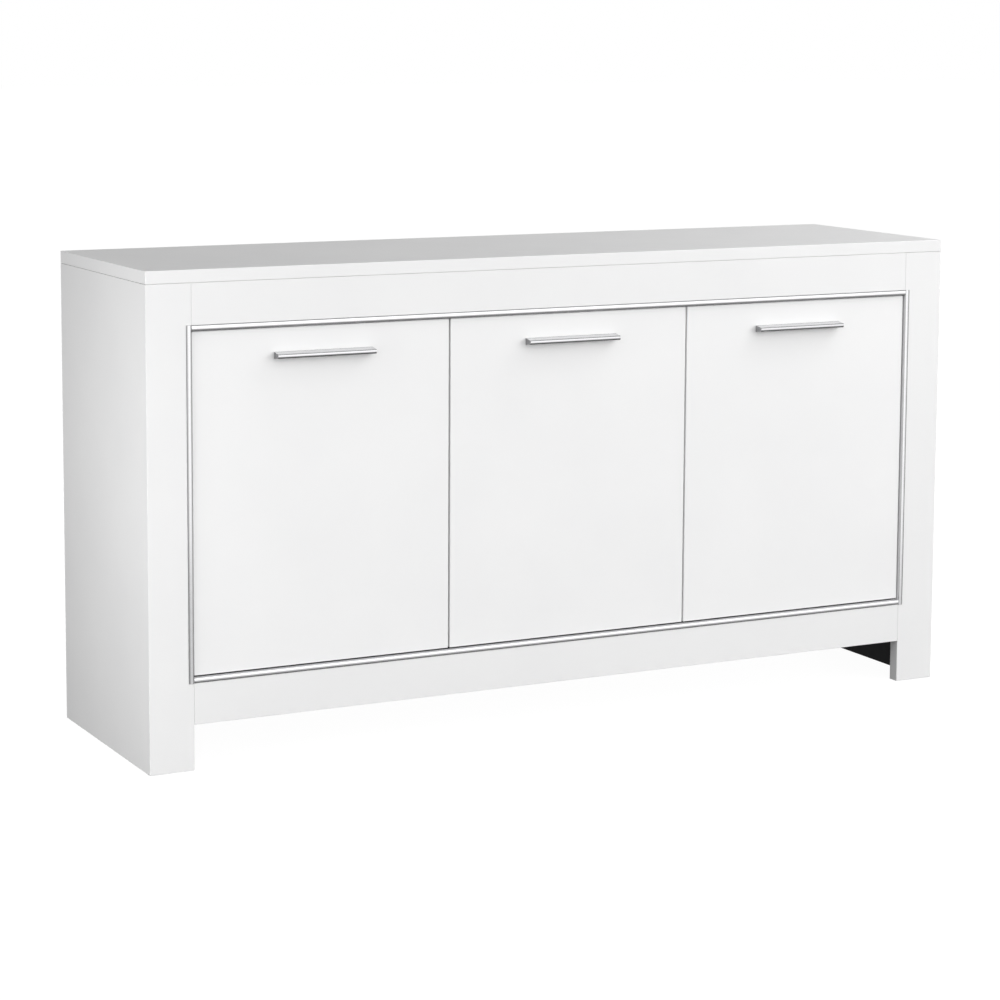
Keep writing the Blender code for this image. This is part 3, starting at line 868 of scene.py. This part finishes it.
def build_buffers(door, body, low, high):
    """Two silicone buffers on the inside of the door, at its opening edge."""
    _, side, _ = hinge_place(door, HINGE_ROWS[0])
    edge_x = high.x if side > 0 else low.x
    x = edge_x - side * BUFFER_INSET
    places = [(x, high.y, z) for z in (low.z + BUFFER_END_DISTANCE, high.z - BUFFER_END_DISTANCE)]
    buffers = screws_at(turned(BUFFER_PROFILE, 32), places, (0, 1, 0))
    add_piece(f"door_{door}_buffers", buffers, [SILICONE], body)


# Hinges

def hinge_place(door, row):
    """The hinge's pivot point, the side it reaches to (+1 or -1 in X) and the body that its door is."""
    joint = next(j for j in frame["joints"] if j["name"] == f"door_{door}_hinge")
    low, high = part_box(f"hinge_cup_{door}_{row}")
    centre = (low + high) / 2
    axis_x, axis_y = joint["pos_m"][0], joint["pos_m"][1]
    side = 1 if centre.x > axis_x else -1
    return Vector((axis_x, axis_y, centre.z)), side, joint["child"]


def cup_mesh():
    """A drawn cup with its screw flange and the riveted pin, origin on the pivot."""
    back_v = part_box("door_left")[1].y - hinge_place("left", "lower")[0].y
    rim_low = back_v + CONTACT_GAP
    rim_high = rim_low + PRESSED_THICK
    inner = CUP_RADIUS - CUP_WALL
    floor = CUP_START_V + CUP_FLOOR
    f = CUP_FILLET
    profile = [(0, CUP_START_V)]
    profile += arc((CUP_RADIUS - f, CUP_START_V + f), f, -90, 0, 6)
    profile += arc((CUP_RADIUS - CUP_LIP, rim_high - CUP_LIP), CUP_LIP, 0, 180, 8)
    profile += arc((inner - f, floor + f), f, 0, -90, 6)
    profile.append((0, floor))
    cup = shifted(turned(profile, CUP_SIDES, "Y"), (CUP_CENTRE_U, 0, 0))

    neck = math.degrees(math.acos(EAR_HALF_WIDTH / FLANGE_RADIUS))
    ear_centre = EAR_REACH - EAR_HALF_WIDTH
    outline = arc((0, 0), FLANGE_RADIUS, -neck, neck, 20)
    outline += arc((0, ear_centre), EAR_HALF_WIDTH, 0, 180, 16)
    outline += arc((0, 0), FLANGE_RADIUS, 180 - neck, 180 + neck, 20)
    outline += arc((0, -ear_centre), EAR_HALF_WIDTH, 180, 360, 16)
    outline = [(u + CUP_CENTRE_U, z) for u, z in outline]
    flange = prism(outline, rim_low, rim_high - EAR_DROP, "Y", PRESSED_ROUND)
    hole = drum(CUP_RADIUS + SEAM_GAP, 0, FLANGE_BORE_END_V, CUP_SIDES, "Y")
    flange = combine(flange, shifted(hole, (CUP_CENTRE_U, 0, 0)), "DIFFERENCE")
    pin = peg(PIN_RADIUS, PIN_LENGTH / 2 - CONTACT_GAP, PRESSED_ROUND, 24)
    return joined([cup, flange, pin]), rim_high


def arm_mesh(seat_low, seat_high, end_v):
    """A cranked arm with an eye round the pin. Its seat lies between the two distances from the pivot."""
    half = ARM_THICK / 2
    outline = [
        (0.0, -half),
        (ARM_ELBOW_U + half, -half),
        (ARM_ELBOW_U + half, ARM_TURN_V + half),
        (seat_high, ARM_TURN_V + half),
        (seat_high, end_v),
        (seat_low, end_v),
        (seat_low, ARM_TURN_V - half),
        (ARM_ELBOW_U - half, ARM_TURN_V - half),
        (ARM_ELBOW_U - half, half),
        (0.0, half),
    ]
    width = ARM_WIDTH / 2
    arm = prism(softened(outline, ARM_BEND), -width, width, "Z", ARM_EDGE)
    arm = combine(arm, peg(EYE_RADIUS, width, ARM_EDGE, 40), "UNION")
    past = width + CUTTER_PAST
    return combine(arm, drum(EYE_HOLE_RADIUS, -past, past, 32), "DIFFERENCE")


def plate_mesh(low_u, start_v, end_v, half_wing):
    """The cross-shaped mounting plate."""
    wing_start = start_v + PLATE_WING_START
    wing_end = wing_start + PLATE_WING_LENGTH
    outline = [(start_v, -PLATE_HALF_WIDTH), (wing_start, -PLATE_HALF_WIDTH), (wing_start, -half_wing)]
    outline += [(wing_end, -half_wing), (wing_end, -PLATE_HALF_WIDTH), (end_v, -PLATE_HALF_WIDTH)]
    outline += [(v, -z) for v, z in reversed(outline)]
    outline = softened(outline, PLATE_CORNER, 4)
    return prism(outline, low_u, low_u + PLATE_THICK, "X", PLATE_EDGE)


def build_hinges():
    """Every hinge's cup, arm, plate and screws."""
    cup, rim_high = cup_mesh()
    ear = EAR_REACH - EAR_HALF_WIDTH
    for door in DOORS:
        for row in HINGE_ROWS:
            pivot, side, leaf = hinge_place(door, row)
            to_world = Matrix.Translation(pivot) @ Matrix.Diagonal((side, 1, 1, 1))
            tag = f"{door}_{row}"
            cup_node, arm_node, plate_node = f"hinge_cup_{tag}", f"hinge_arm_{tag}", f"hinge_plate_{tag}"
            arm_low, arm_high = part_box(arm_node)
            plate_low, plate_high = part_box(plate_node)
            plate_u = sorted(side * (x - pivot.x) for x in (plate_low.x, plate_high.x))
            half_wing = (plate_high.z - plate_low.z) / 2
            start_v, end_v = plate_low.y - pivot.y, plate_high.y - pivot.y
            seat_low = plate_u[1] + CONTACT_GAP
            arm_top = seat_low + ARM_THICK

            cup_placed = placed(cup, to_world)
            add_piece(f"{cup_node}_drawn", cup_placed, [NICKEL], leaf, [cup_node])
            places = [to_world @ Vector((CUP_CENTRE_U, rim_high - EAR_DROP, way * ear)) for way in (-1, 1)]
            screws = screws_at(LARGE_SCREW, places, (0, 1, 0))
            add_piece(f"{cup_node}_screws", screws, [ZINC], leaf)

            arm = placed(arm_mesh(seat_low, arm_top, arm_high.y - pivot.y), to_world)
            add_piece(f"{arm_node}_formed", arm, [NICKEL], CARCASS, [arm_node])
            plate = placed(plate_mesh(plate_u[0], start_v, end_v, half_wing), to_world)
            add_piece(f"{plate_node}_cast", plate, [NICKEL], CARCASS, [plate_node])

            wing_v = start_v + PLATE_WING_START + PLATE_WING_LENGTH / 2
            spread = half_wing - PLATE_SCREW_INSET
            places = [to_world @ Vector((plate_u[1], wing_v, way * spread)) for way in (-1, 1)]
            plate_screws = screws_at(LARGE_SCREW, places, (side, 0, 0))
            places = [to_world @ Vector((arm_top, start_v + ahead, 0)) for ahead in ARM_SCREWS_V]
            arm_screws = screws_at(SMALL_SCREW, places, (side, 0, 0))
            screws = joined([plate_screws, arm_screws])
            add_piece(f"{plate_node}_screws", screws, [ZINC], CARCASS)


build_top()
build_sides()
build_front_frame()
build_trim()
build_inside()
build_back()
build_doors()
build_hinges()


# Studio

CAMERA_PLACE = (-2.3634, -4.5038, 1.2738)
CAMERA_HEADING = 27.335
CAMERA_DOWN = 6.925
CAMERA_ROLL = 0.312
CAMERA_LENS = 99.868
CAMERA_SHIFT = -0.15
FLOOR_HALF = 40.0
FLOOR_DROP = 0.0005

# Far light: heading from straight ahead towards +X, height over the horizon, both in degrees, and strength
SKY_LOBES = (
    (-90, 15, 0.45),
    (-45, 15, 0.30),
    (22, 15, 1.60),
    (-60, 50, 0.20),
    (0, 50, 0.20),
    (0, 90, 0.12),
)
LOBE_POWER = 4.0
AMBIENT = 0.15

# It weakens to a share of itself between two heights, given as the sine of the angle, below the horizon
FADE_LOW = -0.215
FADE_HIGH = -0.175
GROUND_SHARE = 0.70

# Near light: name, place, what it faces, size and power in watts
SOFTBOXES = (
    ("front_right_softbox", (2.2, -3.0, 1.1), (0.0, 0.0, 0.5), 2.0, 29.2),
    ("low_front_softbox", (-0.6, -2.6, 0.45), (-0.1, 0.0, 0.5), 1.6, 12.8),
    ("left_softbox", (-1.7, -0.42, 0.56), (-0.8, -0.3, 0.5), 0.8, 7.2),
    ("top_softbox", (1.8, -0.6, 2.6), (0.5, 0.0, 0.8), 1.5, 25.0),
    ("rear_softbox", (1.7, 2.7, 0.45), (0.0, 0.2, 0.45), 0.8, 70.0),
)


def build_camera():
    """A long lens from the front left, a little above the top."""
    data = bpy.data.cameras.new("camera")
    data.lens = CAMERA_LENS
    data.sensor_width = 36.0
    data.shift_y = CAMERA_SHIFT
    data.clip_start = 0.1
    data.clip_end = 200.0
    camera = bpy.data.objects.new("camera", data)
    bpy.context.scene.collection.objects.link(camera)
    heading = math.radians(CAMERA_HEADING)
    down = math.radians(CAMERA_DOWN)
    level = math.cos(down)
    ahead = Vector((math.sin(heading) * level, math.cos(heading) * level, -math.sin(down)))
    roll = Matrix.Rotation(math.radians(CAMERA_ROLL), 3, "Z")
    turn = ahead.to_track_quat("-Z", "Y").to_matrix() @ roll
    camera.matrix_world = Matrix.Translation(CAMERA_PLACE) @ turn.to_4x4()
    bpy.context.scene.camera = camera


def build_floor():
    """A pale floor that runs out of sight."""
    bm = bmesh.new()
    bmesh.ops.create_grid(bm, x_segments=8, y_segments=8, size=FLOOR_HALF)
    floor = bpy.data.objects.new("floor", mesh_from(bm))
    bpy.context.scene.collection.objects.link(floor)
    floor.location.z = cad_low.z - FLOOR_DROP
    material = bpy.data.materials.new("pale_floor")
    material.use_nodes = True
    tree = material.node_tree
    output = tree.nodes["Material Output"]
    tree.nodes.remove(tree.nodes["Principled BSDF"])
    diffuse = add_node(tree, "ShaderNodeBsdfDiffuse", {"Color": (0.10, 0.10, 0.10, 1.0)})
    glow = add_node(tree, "ShaderNodeEmission", {"Color": (1.0, 1.0, 1.0, 1.0), "Strength": 0.97})
    shown = add_node(tree, "ShaderNodeAddShader", {0: diffuse.outputs[0], 1: glow.outputs[0]})
    path = add_node(tree, "ShaderNodeLightPath")
    inputs = {0: path.outputs["Is Camera Ray"], 1: diffuse.outputs[0], 2: shown.outputs[0]}
    mix = add_node(tree, "ShaderNodeMixShader", inputs)
    tree.links.new(mix.outputs[0], output.inputs["Surface"])
    floor.data.materials.append(material)
    floor.visible_glossy = False


def scaled(tree, value, factor, operation="MULTIPLY"):
    """A value and a number or another value, put together by a math operation."""
    return add_node(tree, "ShaderNodeMath", {0: value, 1: factor}, operation=operation).outputs["Value"]


def build_world():
    """Light from far off: a few broad lobes over the horizon, weaker below it. The camera sees white."""
    world = bpy.data.worlds.new("studio")
    bpy.context.scene.world = world
    world.use_nodes = True
    tree = world.node_tree
    background = tree.nodes["Background"]
    background.inputs["Color"].default_value = (1.0, 1.0, 1.0, 1.0)
    direction = add_node(tree, "ShaderNodeTexCoord").outputs["Generated"]
    total = AMBIENT
    for heading, height, strength in SKY_LOBES:
        turn, up = math.radians(heading), math.radians(height)
        axis = (math.sin(turn) * math.cos(up), -math.cos(turn) * math.cos(up), math.sin(up))
        dot = add_node(tree, "ShaderNodeVectorMath", {0: direction, 1: axis}, operation="DOT_PRODUCT")
        ahead = scaled(tree, dot.outputs["Value"], 0.0, "MAXIMUM")
        lobe = scaled(tree, scaled(tree, ahead, LOBE_POWER, "POWER"), strength)
        total = scaled(tree, lobe, total, "ADD")
    height = add_node(tree, "ShaderNodeSeparateXYZ", {"Vector": direction}).outputs["Z"]
    inputs = {"Value": height, "From Min": FADE_LOW, "From Max": FADE_HIGH, "To Min": GROUND_SHARE}
    fade = add_node(tree, "ShaderNodeMapRange", inputs, interpolation_type="SMOOTHSTEP").outputs["Result"]
    camera_ray = add_node(tree, "ShaderNodeLightPath").outputs["Is Camera Ray"]
    inputs = {"Factor": camera_ray, "A": scaled(tree, total, fade), "B": 1.0}
    light = add_node(tree, "ShaderNodeMix", inputs, data_type="FLOAT")
    tree.links.new(light.outputs["Result"], background.inputs["Strength"])


def build_softboxes():
    """Large square lamps nearer the sideboard, for the slow change of tone along it.

    Glossy rays don't see them, so the chrome shows only the far light.
    """
    for name, place, aim, size, power in SOFTBOXES:
        data = bpy.data.lights.new(name, "AREA")
        data.shape = "SQUARE"
        data.size = size
        data.energy = power
        lamp = bpy.data.objects.new(name, data)
        bpy.context.scene.collection.objects.link(lamp)
        lamp.location = place
        lamp.rotation_mode = "QUATERNION"
        lamp.rotation_quaternion = (Vector(aim) - Vector(place)).to_track_quat("-Z", "Y")
        lamp.visible_camera = False
        lamp.visible_glossy = False


build_camera()
build_floor()
build_world()
build_softboxes()
bpy.context.scene.view_settings.view_transform = "Standard"
